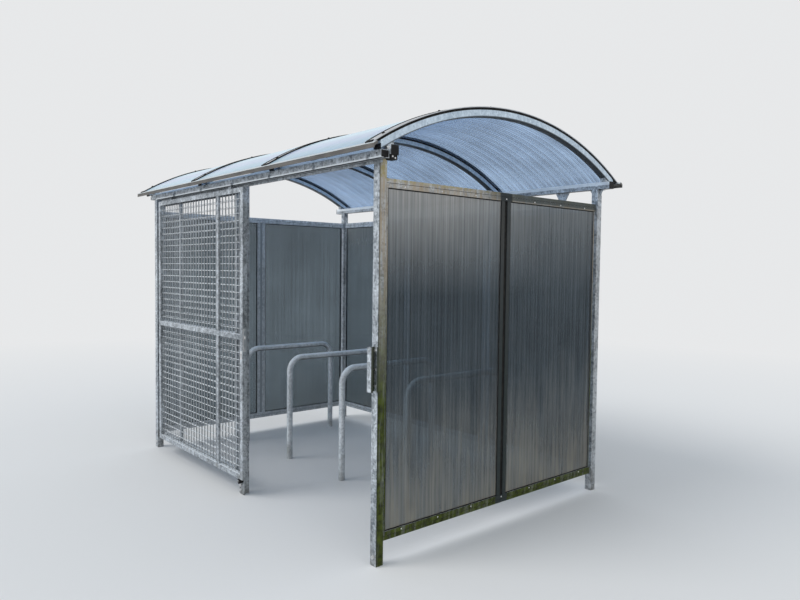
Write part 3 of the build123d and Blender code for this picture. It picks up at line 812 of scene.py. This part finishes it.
def hoop(node_name):
    """One bent round tube with its ends at the ground."""
    low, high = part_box(node_name)
    x = (low.x + high.x) / 2
    y0 = low.y + HOOP_RADIUS
    y1 = high.y - HOOP_RADIUS
    top = high.z - HOOP_RADIUS
    path = [((y0, 0.0), 0.0)]
    for i in range(BEND_STEPS + 1):
        angle = i / BEND_STEPS * math.pi / 2
        y = y0 + HOOP_BEND * (1 - math.cos(angle))
        z = top - HOOP_BEND * (1 - math.sin(angle))
        path.append(((y, z), angle))
    for i in range(BEND_STEPS + 1):
        angle = i / BEND_STEPS * math.pi / 2
        y = y1 - HOOP_BEND * (1 - math.sin(angle))
        z = top - HOOP_BEND * (1 - math.cos(angle))
        path.append(((y, z), angle + math.pi / 2))
    path.append(((y1, 0.0), math.pi))
    rings = []
    for (y, z), turn in path:
        ring = []
        for i in range(HOOP_SIDES):
            a = 2 * math.pi * i / HOOP_SIDES
            out = HOOP_RADIUS * math.cos(a)
            ring.append((
                x + HOOP_RADIUS * math.sin(a),
                y - out * math.cos(turn),
                z + out * math.sin(turn),
            ))
        rings.append(ring)
    shape = Shape()
    shape.loft(rings)
    shape.make(node_name + "_tube", [TUBE_STEEL], "shelter", (node_name,), 40)


# Multiwall sheets


def wall_sheets(wall, axis, finish):
    """A wall's sheets, each with its flutes' webs standing inside it."""
    name = wall + "_wall_sheets"
    across = 1 - axis
    shape = Shape()
    for low, high in solids(name):
        shape.finish = 0
        shape.box(low, high)
        shape.finish = 1
        for i in range(1, int((high[across] - low[across]) / FLUTE_PITCH)):
            start, end = low.copy(), high.copy()
            start[across] = low[across] + i * FLUTE_PITCH - WEB_THICKNESS / 2
            end[across] = start[across] + WEB_THICKNESS
            start[axis] += WEB_THICKNESS
            end[axis] -= WEB_THICKNESS
            start.z += WEB_THICKNESS
            end.z -= WEB_THICKNESS
            shape.box(start, end)
    shape.make(name + "_fluted", [finish, WALL_WEB], "shelter", (name,))


def roof_arc():
    """The roof sheets' arc: the height of its centre, its outer radius and half its angle."""
    low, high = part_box("roof_sheet_1")
    rise = high.z - low.z
    angle = 0.5
    for _ in range(20):
        angle = 2 * math.atan((rise - SHEET_THICKNESS * math.cos(angle)) / high.y)
    radius = high.y / math.sin(angle)
    return high.z - radius, radius, angle


def roof_side():
    """How far the roof sheets reach to each side of the middle."""
    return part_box("roof_sheet_3")[1].x


def roof_sheet(name):
    """One roof sheet, with its webs along the arch."""
    low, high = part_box(name)
    centre_z, radius, angle = roof_arc()
    inner = radius - SHEET_THICKNESS
    shape = Shape()
    shape.arch(low.x, high.x, inner, radius, angle, centre_z)
    shape.finish = 1
    half = WEB_THICKNESS / 2
    web_angle = angle - WEB_THICKNESS / radius
    for i in range(1, int((high.x - low.x) / FLUTE_PITCH)):
        x = low.x + i * FLUTE_PITCH
        bounds = (x - half, x + half, inner + WEB_THICKNESS, radius - WEB_THICKNESS)
        shape.arch(*bounds, web_angle, centre_z)
    finishes = [ROOF_SHEET, ROOF_WEB]
    shape.make(name + "_fluted", finishes, "shelter", (name,), 30)


# Gaskets


def wall_gaskets(walls):
    """Black lips round every pane, on both sides, and black seams beside the clamp strips, which
    are seals and also painted shade for the shadow line at that joint.
    """
    lip = [(0.0, 0.0), (0.0055, 0.0), (0.0045, 0.0028), (0.0, 0.0042)]
    seam, proud = 0.0022, 0.0008
    shape = Shape()
    for wall, axis in walls.items():
        across = 1 - axis
        frame_low, frame_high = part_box(wall + "_wall_frame")
        for low, high in solids(wall + "_wall_sheets"):
            first = low[across] - frame_low[across] < OUTERMOST_REACH
            last = frame_high[across] - high[across] < OUTERMOST_REACH
            span = (
                low[across] + (EDGE_GROOVE if first else UPRIGHT_GROOVE),
                high[across] - (EDGE_GROOVE if last else UPRIGHT_GROOVE),
            )
            heights = (low.z + CLAMP_HEIGHT, high.z - CLAMP_HEIGHT)
            shape.rim(axis, low[axis], -1, span, heights, lip)
            shape.rim(axis, high[axis], 1, span, heights, lip)
        rail_faces = (frame_low[axis] + CLAMP_RELIEF, frame_high[axis] - CLAMP_RELIEF)
        for z in (frame_low.z + RAIL_HEIGHT, frame_high.z - RAIL_HEIGHT):
            for face in rail_faces:
                start, end = frame_low.copy(), frame_high.copy()
                start.z, end.z = z - seam, z + seam
                start[axis], end[axis] = face - proud, face + proud
                shape.box(start, end)
    shape.make("wall_gaskets", [PANE_RUBBER], "shelter")


def roof_gaskets():
    """Black lips beside the ribs and the cover strips, along the roof's side edges, and over
    the cover strips' ends."""
    centre_z, radius, angle = roof_arc()
    inner = radius - SHEET_THICKNESS
    rib_top = inner - RIB_GASKET
    rib_lip, rib_lip_height, strip_lip, side_lip = 0.004, 0.005, 0.009, 0.006
    lip_top, lip_foot, crown = radius + 0.008, radius + 0.003, radius + 0.0046
    cap_reach, cap_foot, cap_top = 0.033, radius + 0.0003, radius + 0.0075
    strip_angle = angle - 0.014
    side_x = roof_side()
    shape = Shape()
    for rib in RIBS:
        low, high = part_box(rib)
        rib_angle = math.asin(high.y / radius)
        for x, side in ((low.x, -1), (high.x, 1)):
            if abs(x) < side_x - 0.02:
                edges = sorted((x, x + side * rib_lip))
                shape.arch(*edges, rib_top - rib_lip_height, inner - 0.0002, rib_angle, centre_z)
        middle = (low.x + high.x) / 2
        for side in (-1, 1):
            x = middle + side * STRIP_WIDTH / 2
            if abs(x) > side_x:
                continue
            rings = []
            for i in range(ARCH_STEPS + 1):
                a = strip_angle * (2 * i / ARCH_STEPS - 1)
                top = min(lip_top, crown / math.cos(a))
                outline = ((0.0, top), (0.6, top), (1.0, lip_foot), (1.0, radius), (0.0, radius))
                rings.append([
                    (x + side * strip_lip * out, r * math.sin(a), centre_z + r * math.cos(a))
                    for out, r in outline
                ])
            shape.loft(rings)
        left = max(middle - cap_reach, -side_x - side_lip)
        right = min(middle + cap_reach, side_x + side_lip)
        for side in (-1, 1):
            span = sorted((side * (strip_angle - 0.002), side * (strip_angle + 0.007)))
            shape.bend(left, right, cap_foot, cap_top, span, centre_z)
    # Black strips over the roof sheets' side edges: rubber, and painted shade for the shadowed
    # edges
    for side in (-1, 1):
        x = side * side_x
        edges = sorted((x, x + side * side_lip))
        shape.arch(*edges, rib_top, radius, strip_angle, centre_z)
    shape.make("roof_gaskets", [RUBBER], "shelter", smooth=30)


def eave_trim():
    """Drip lips under the eave profiles, and the closed ends of the profiles."""
    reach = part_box("beam_caps")[1].x - 0.001
    inset, lip = 0.0003, 0.004
    shape = Shape()
    for name in ("front_eave_profile", "back_eave_profile"):
        low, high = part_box(name)
        side = 1 if low.y > 0 else -1
        outer, inner = max(abs(low.y), abs(high.y)), min(abs(low.y), abs(high.y))
        outline = (
            (outer - inset, low.z - DRIP),
            (outer - inset, low.z + 0.0122),
            (outer - 0.022, high.z),
            (inner, low.z + 0.0143),
            (outer - 0.008, low.z),
            (outer - lip, low.z - DRIP),
        )
        for x0, x1 in ((-reach, low.x), (high.x, reach)):
            shape.loft([[(x, side * y, z) for y, z in outline] for x in (x0, x1)])
        edges = sorted((side * (outer - inset), side * (outer - lip)))
        shape.box((low.x, edges[0], low.z - DRIP), (high.x, edges[1], low.z + 0.009))
    # Drip lips and end pieces in the eave profiles' dark finish, which is painted shade
    shape.make("eave_trim", [EAVE_PROFILE], "shelter")


def rib_end_caps():
    """Low black caps in the ribs' ends, in place of the plain ones."""
    shape = Shape()
    reach = 0.004
    foot, top = CAP_BAND
    for low, high in solids("rib_plugs"):
        shape.box((low.x - reach, low.y, low.z + foot), (high.x + reach, high.y, low.z + top))
    shape.make("rib_end_caps", [PLASTIC], "shelter", ("rib_plugs",))


# Fixings


def hex_bolt(shape, spot, axis, size):
    """A washer and a chamfered hexagon head, for a bolt of the given diameter."""
    washer, thickness, head = size * 1.05, 0.0018, size * 0.98
    disc = [(washer, -SINK), (washer, thickness), (washer * 0.96, thickness)]
    shape.lathe(spot, axis, disc, 24)
    high = thickness + size * 0.62
    hexagon = [(head, thickness - 0.0002), (head, high - size * 0.1), (head * 0.86, high)]
    shape.lathe(spot, axis, hexagon, 6)


def dome(shape, spot, axis, radius, high):
    """A round head."""
    edge, rings = 0.15, 6
    steps = [(radius, -SINK), (radius, high * edge)]
    for i in range(1, rings):
        a = i / rings * math.pi / 2
        steps.append((radius * math.cos(a), high * (edge + 0.85 * math.sin(a))))
    shape.lathe(spot, axis, steps, DOME_SIDES)


def steel_bolts():
    """Hexagon bolts: at the feet, on the panel brackets, the guide, the front beam's ends
    and under the ribs."""
    shape = Shape()
    for mount in frame["record"]["mounts"]:
        if mount["kind"] == "bore":
            spot, axis = Vector(mount["pos_m"]), Vector(mount["axis"])
            face = spot + axis * mount["dims"]["length_mm"] / 2000
            hex_bolt(shape, face, axis, 0.012)
    low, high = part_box("fixed_panel_frame")
    plate_front = (low.y + high.y) / 2 - BRACKET_THICKNESS / 2
    for z in BRACKET_LEVELS:
        for x in (low.x + BRACKET_LENGTH / 2, high.x - BRACKET_LENGTH / 2):
            hex_bolt(shape, (x, plate_front, z), (0, -1, 0), 0.010)
    low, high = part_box("guide_bracket")
    plate_front = high.y - GUIDE_PLATE_THICKNESS
    for z in GUIDE_BOLT_LEVELS:
        hex_bolt(shape, (low.x + GUIDE_BOLT_INSET, plate_front, z), (0, -1, 0), 0.010)
    beam_low, beam_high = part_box("front_beam")
    for side in (-1, 1):
        x = side * (beam_high.x - BEAM_BOLT_INSET)
        z = beam_high.z - BEAM_BOLT_DROP
        hex_bolt(shape, (x, beam_low.y, z), (0, -1, 0), 0.012)
    for rib in RIBS:
        rib_low, rib_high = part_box(rib)
        x = (rib_low.x + rib_high.x) / 2
        for beam in ("front_beam", "back_beam"):
            low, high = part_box(beam)
            y = (low.y + high.y) / 2
            hex_bolt(shape, (x, y, low.z), (0, 0, -1), 0.010)
    shape.make("steel_bolts", [BRIGHT], "shelter", smooth=30)


def track_bolts():
    """Bolts with square washers on the track's face, the flange under its back edge, and a
    hole near its end."""
    low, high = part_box("gate_track")
    shape = Shape()
    half, thick = 0.014, 0.003
    z = low.z + half
    for i in range(TRACK_BOLTS):
        x = TRACK_BOLT_START + i * TRACK_BOLT_PITCH
        if x < high.x - 0.02:
            shape.box((x - half, low.y - thick, z - half), (x + half, low.y + 0.001, z + half))
            hex_bolt(shape, (x, low.y - thick, z), (0, -1, 0), 0.008)
    shape.make("track_bolts", [STEEL], "shelter", smooth=30)
    flange = Shape()
    thick, drop, gap = 0.004, 0.015, 0.05
    flange.box((low.x, high.y - thick, low.z - drop), (high.x - gap, high.y, low.z + 0.001))
    flange.make("track_back_flange", [STEEL], "shelter")
    # Painted shade: a black disc standing for the dark inside of the hole
    dark = Shape()
    spot, radius = (high.x - 0.036, low.y, low.z + 0.025), 0.004
    dark.lathe(spot, (0, -1, 0), [(radius, -0.001), (radius, 0.0003)], 16)
    dark.make("track_hole", [PLASTIC], "shelter")


def track_end():
    """The clamp block under the front beam's right end, with its two screws."""
    beam_low, beam_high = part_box("front_beam")
    track_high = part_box("gate_track")[1]
    block = Shape()
    cover, drop, front_gap, back_gap = 0.030, 0.026, 0.002, 0.006
    low = Vector((track_high.x - cover, beam_low.y + front_gap, beam_low.z - drop))
    high = Vector((beam_high.x, beam_high.y - back_gap, beam_low.z))
    block.box(low, high)
    block.make("track_end_block", [PLASTIC], "shelter")
    screws = Shape()
    for y, z in ((low.y + 0.010, high.z - 0.010), (low.y + 0.028, low.z + 0.009)):
        dome(screws, (high.x, y, z), (1, 0, 0), 0.005, 0.003)
    screws.make("track_end_screws", [BRIGHT], "shelter", smooth=30)


def strip_screws():
    """Screws with seals along the cover strips."""
    centre_z, radius, angle = roof_arc()
    top = radius + STRIP_THICKNESS
    shape = Shape()
    seal, seal_top = 0.009, 0.0035
    profile = [(seal, -SINK), (seal, 0.002), (0.007, seal_top)]
    middle = (STRIP_SCREWS - 1) / 2
    for rib in RIBS:
        low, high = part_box(rib)
        x = (low.x + high.x) / 2
        for i in range(STRIP_SCREWS):
            a = (i - middle) / middle * (angle - 0.06)
            out = Vector((0, math.sin(a), math.cos(a)))
            spot = Vector((x, top * math.sin(a), centre_z + top * math.cos(a)))
            shape.lathe(spot, out, profile, DOME_SIDES)
            dome(shape, spot + out * seal_top, out, 0.0065, 0.004)
    shape.make("strip_screws", [PLASTIC], "shelter", smooth=30)


def wall_rivets(walls):
    """Rivets along the clamp strips, inside and out."""
    shape = Shape()
    for wall, axis in walls.items():
        across = 1 - axis
        low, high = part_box(wall + "_wall_frame")
        count = round((high[across] - low[across]) / RIVET_PITCH)
        step = (high[across] - low[across]) / count
        edge = RAIL_HEIGHT + CLAMP_HEIGHT / 2
        for z in (low.z + edge, high.z - edge):
            for i in range(count):
                for face, side in ((low[axis], -1), (high[axis], 1)):
                    spot, out = [0.0, 0.0, z], [0, 0, 0]
                    spot[axis], out[axis] = face, side
                    spot[across] = low[across] + (i + 0.5) * step
                    dome(shape, spot, out, 0.0045, 0.0022)
    shape.make("wall_rivets", [BRIGHT], "shelter", smooth=30)


def latch_and_bolt():
    """The latch, the bolt and two screws in the gate's lock plate."""
    low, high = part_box("gate_lock")
    y = (low.y + high.y) / 2
    middle = (low.z + high.z) / 2
    half_width, half_height = 0.0055, 0.010
    shape = Shape()
    for z, slope in ((middle + LATCH_RISE, 0.0022), (middle - BOLT_DROP, 0.0)):
        rings = []
        for x, give in ((low.x, 0.0), (high.x + 0.001, 0.0), (high.x + 0.0035, slope)):
            rings.append([
                (x, y - half_width + give * 2, z - half_height),
                (x, y + half_width, z - half_height),
                (x, y + half_width, z + half_height),
                (x, y - half_width + give * 2, z + half_height),
            ])
        shape.loft(rings)
    for z in (low.z + 0.010, high.z - 0.010):
        dome(shape, (high.x, y, z), (1, 0, 0), 0.0042, 0.0016)
    shape.make("latch_and_bolt", [BRIGHT], "gate", smooth=30)


def key_plate():
    """The key plate and its keyhole, on the front of the gate's closing stile."""
    low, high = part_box("gate_lock")
    frame_low, frame_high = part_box("gate_frame")
    x = frame_high.x - GATE_TUBE / 2
    z = (low.z + high.z) / 2 - KEY_DROP
    front = frame_low.y - 0.0015
    plate = Shape()
    half_width, half_height, corner = 0.011, 0.030, 0.008
    outline = []
    for cx, cz, start in ((1, 1, 0), (-1, 1, 90), (-1, -1, 180), (1, -1, 270)):
        for k in range(5):
            a = math.radians(start + k * 22.5)
            outline.append((
                x + cx * (half_width - corner) + corner * math.cos(a),
                z + cz * (half_height - corner) + corner * math.sin(a),
            ))
    plate.loft([[(px, y, pz) for px, pz in outline] for y in (frame_low.y + SINK, front)])
    plate.make("key_plate", [BRIGHT], "gate", smooth=30)
    # Painted shade: black pieces standing for the dark inside of the keyhole
    hole = Shape()
    eye, slot, sunk, proud = 0.0042, 0.0018, 0.0002, 0.0003
    hole.lathe((x, front, z + 0.006), (0, -1, 0), [(eye, -sunk), (eye, proud)], 20)
    hole.box((x - slot, front - proud, z - 0.012), (x + slot, front + sunk, z + 0.006))
    hole.make("keyhole", [PLASTIC], "gate")


def strike_screws():
    """Screws inside the open strike box."""
    low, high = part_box("strike_box")
    shape = Shape()
    for z in (low.z + 0.031, low.z + 0.118, high.z - 0.022):
        hex_bolt(shape, (low.x + 0.014, high.y - 0.003, z), (0, -1, 0), 0.008)
    shape.make("strike_screws", [BRIGHT], "shelter", smooth=30)


# Studio


def seen_directly(tree):
    """One where a ray comes from the camera, or from gloss or glass."""
    path = node(tree, "ShaderNodeLightPath").outputs
    seen = calc(tree, "MAXIMUM", path["Is Camera Ray"], path["Is Glossy Ray"])
    return calc(tree, "MAXIMUM", seen, path["Is Transmission Ray"])


def make_stage():
    """A pale floor that turns into the background far from the shelter."""
    half = FLOOR_SIZE / 2
    corners = [(-half, -half, 0), (half, -half, 0), (half, half, 0), (-half, half, 0)]
    mesh = bpy.data.meshes.new("floor")
    mesh.from_pydata(corners, [], [(0, 1, 2, 3)])
    material, tree = new_tree("floor")
    lit = node(tree, "ShaderNodeBsdfDiffuse", {"Color": PALE}).outputs[0]
    plain = node(tree, "ShaderNodeEmission", {"Color": PALE, "Strength": 1.0}).outputs[0]
    far = node(tree, "ShaderNodeVectorMath", {0: place(tree)}, operation="LENGTH").outputs["Value"]
    fade = ramp(tree, far, *FLOOR_FADE)
    fade = calc(tree, "MULTIPLY", fade, seen_directly(tree))
    surface = node(tree, "ShaderNodeMixShader", {0: fade, 1: lit, 2: plain})
    node(tree, "ShaderNodeOutputMaterial", {"Surface": surface.outputs[0]})
    mesh.materials.append(material)
    floor = bpy.data.objects.new("floor", mesh)
    scene.collection.objects.link(floor)


def make_world():
    """Soft light from all round, and a plain pale background."""
    world = bpy.data.worlds.new("studio")
    scene.world = world
    world.use_nodes = True
    tree = world.node_tree
    tree.nodes.clear()
    light = node(tree, "ShaderNodeBackground", {"Color": SKY_LIGHT, "Strength": SKY_STRENGTH})
    shown = node(tree, "ShaderNodeBackground", {"Color": PALE, "Strength": 1.0})
    inputs = {0: seen_directly(tree), 1: light.outputs[0], 2: shown.outputs[0]}
    both = node(tree, "ShaderNodeMixShader", inputs)
    node(tree, "ShaderNodeOutputWorld", {"Surface": both.outputs[0]})


def make_lamp(name, direction, strength, spread, colour):
    """A broad, far lamp shining along a direction."""
    data = bpy.data.lights.new(name, "SUN")
    data.energy = strength
    data.angle = math.radians(spread)
    data.color = colour
    lamp = bpy.data.objects.new(name, data)
    scene.collection.objects.link(lamp)
    lamp.rotation_euler = Vector(direction).to_track_quat("-Z", "Y").to_euler()


scene.view_settings.view_transform = "Standard"
scene.cycles.transparent_max_bounces = 64
make_camera()
make_stage()
make_world()
make_lamp("key", (0.35, 0.75, -0.75), 1.3, 35, (1.0, 0.98, 0.95))
make_lamp("fill", (-0.8, 0.3, -0.5), 0.36, 60, (1.0, 0.95, 0.89))

WALLS = {"left": 0, "right": 0, "back": 1}
dress_frame()
round_wires("gate_mesh_uprights", 2, "gate", UPRIGHT_WIRE)
round_wires("gate_mesh_crosswires", 0, "gate", CROSS_WIRE)
round_wires("fixed_mesh_uprights", 2, "shelter", UPRIGHT_WIRE)
round_wires("fixed_mesh_crosswires", 0, "shelter", CROSS_WIRE)
for name in numbered("hoop", HOOP_COUNT):
    hoop(name)
for name in numbered("roof_sheet", ROOF_SHEETS):
    roof_sheet(name)
for wall, axis in WALLS.items():
    wall_sheets(wall, axis, BACK_SHEET if wall == "back" else SIDE_SHEET)
wall_gaskets(WALLS)
roof_gaskets()
eave_trim()
rib_end_caps()
steel_bolts()
track_bolts()
track_end()
strip_screws()
wall_rivets(WALLS)
latch_and_bolt()
key_plate()
strike_screws()
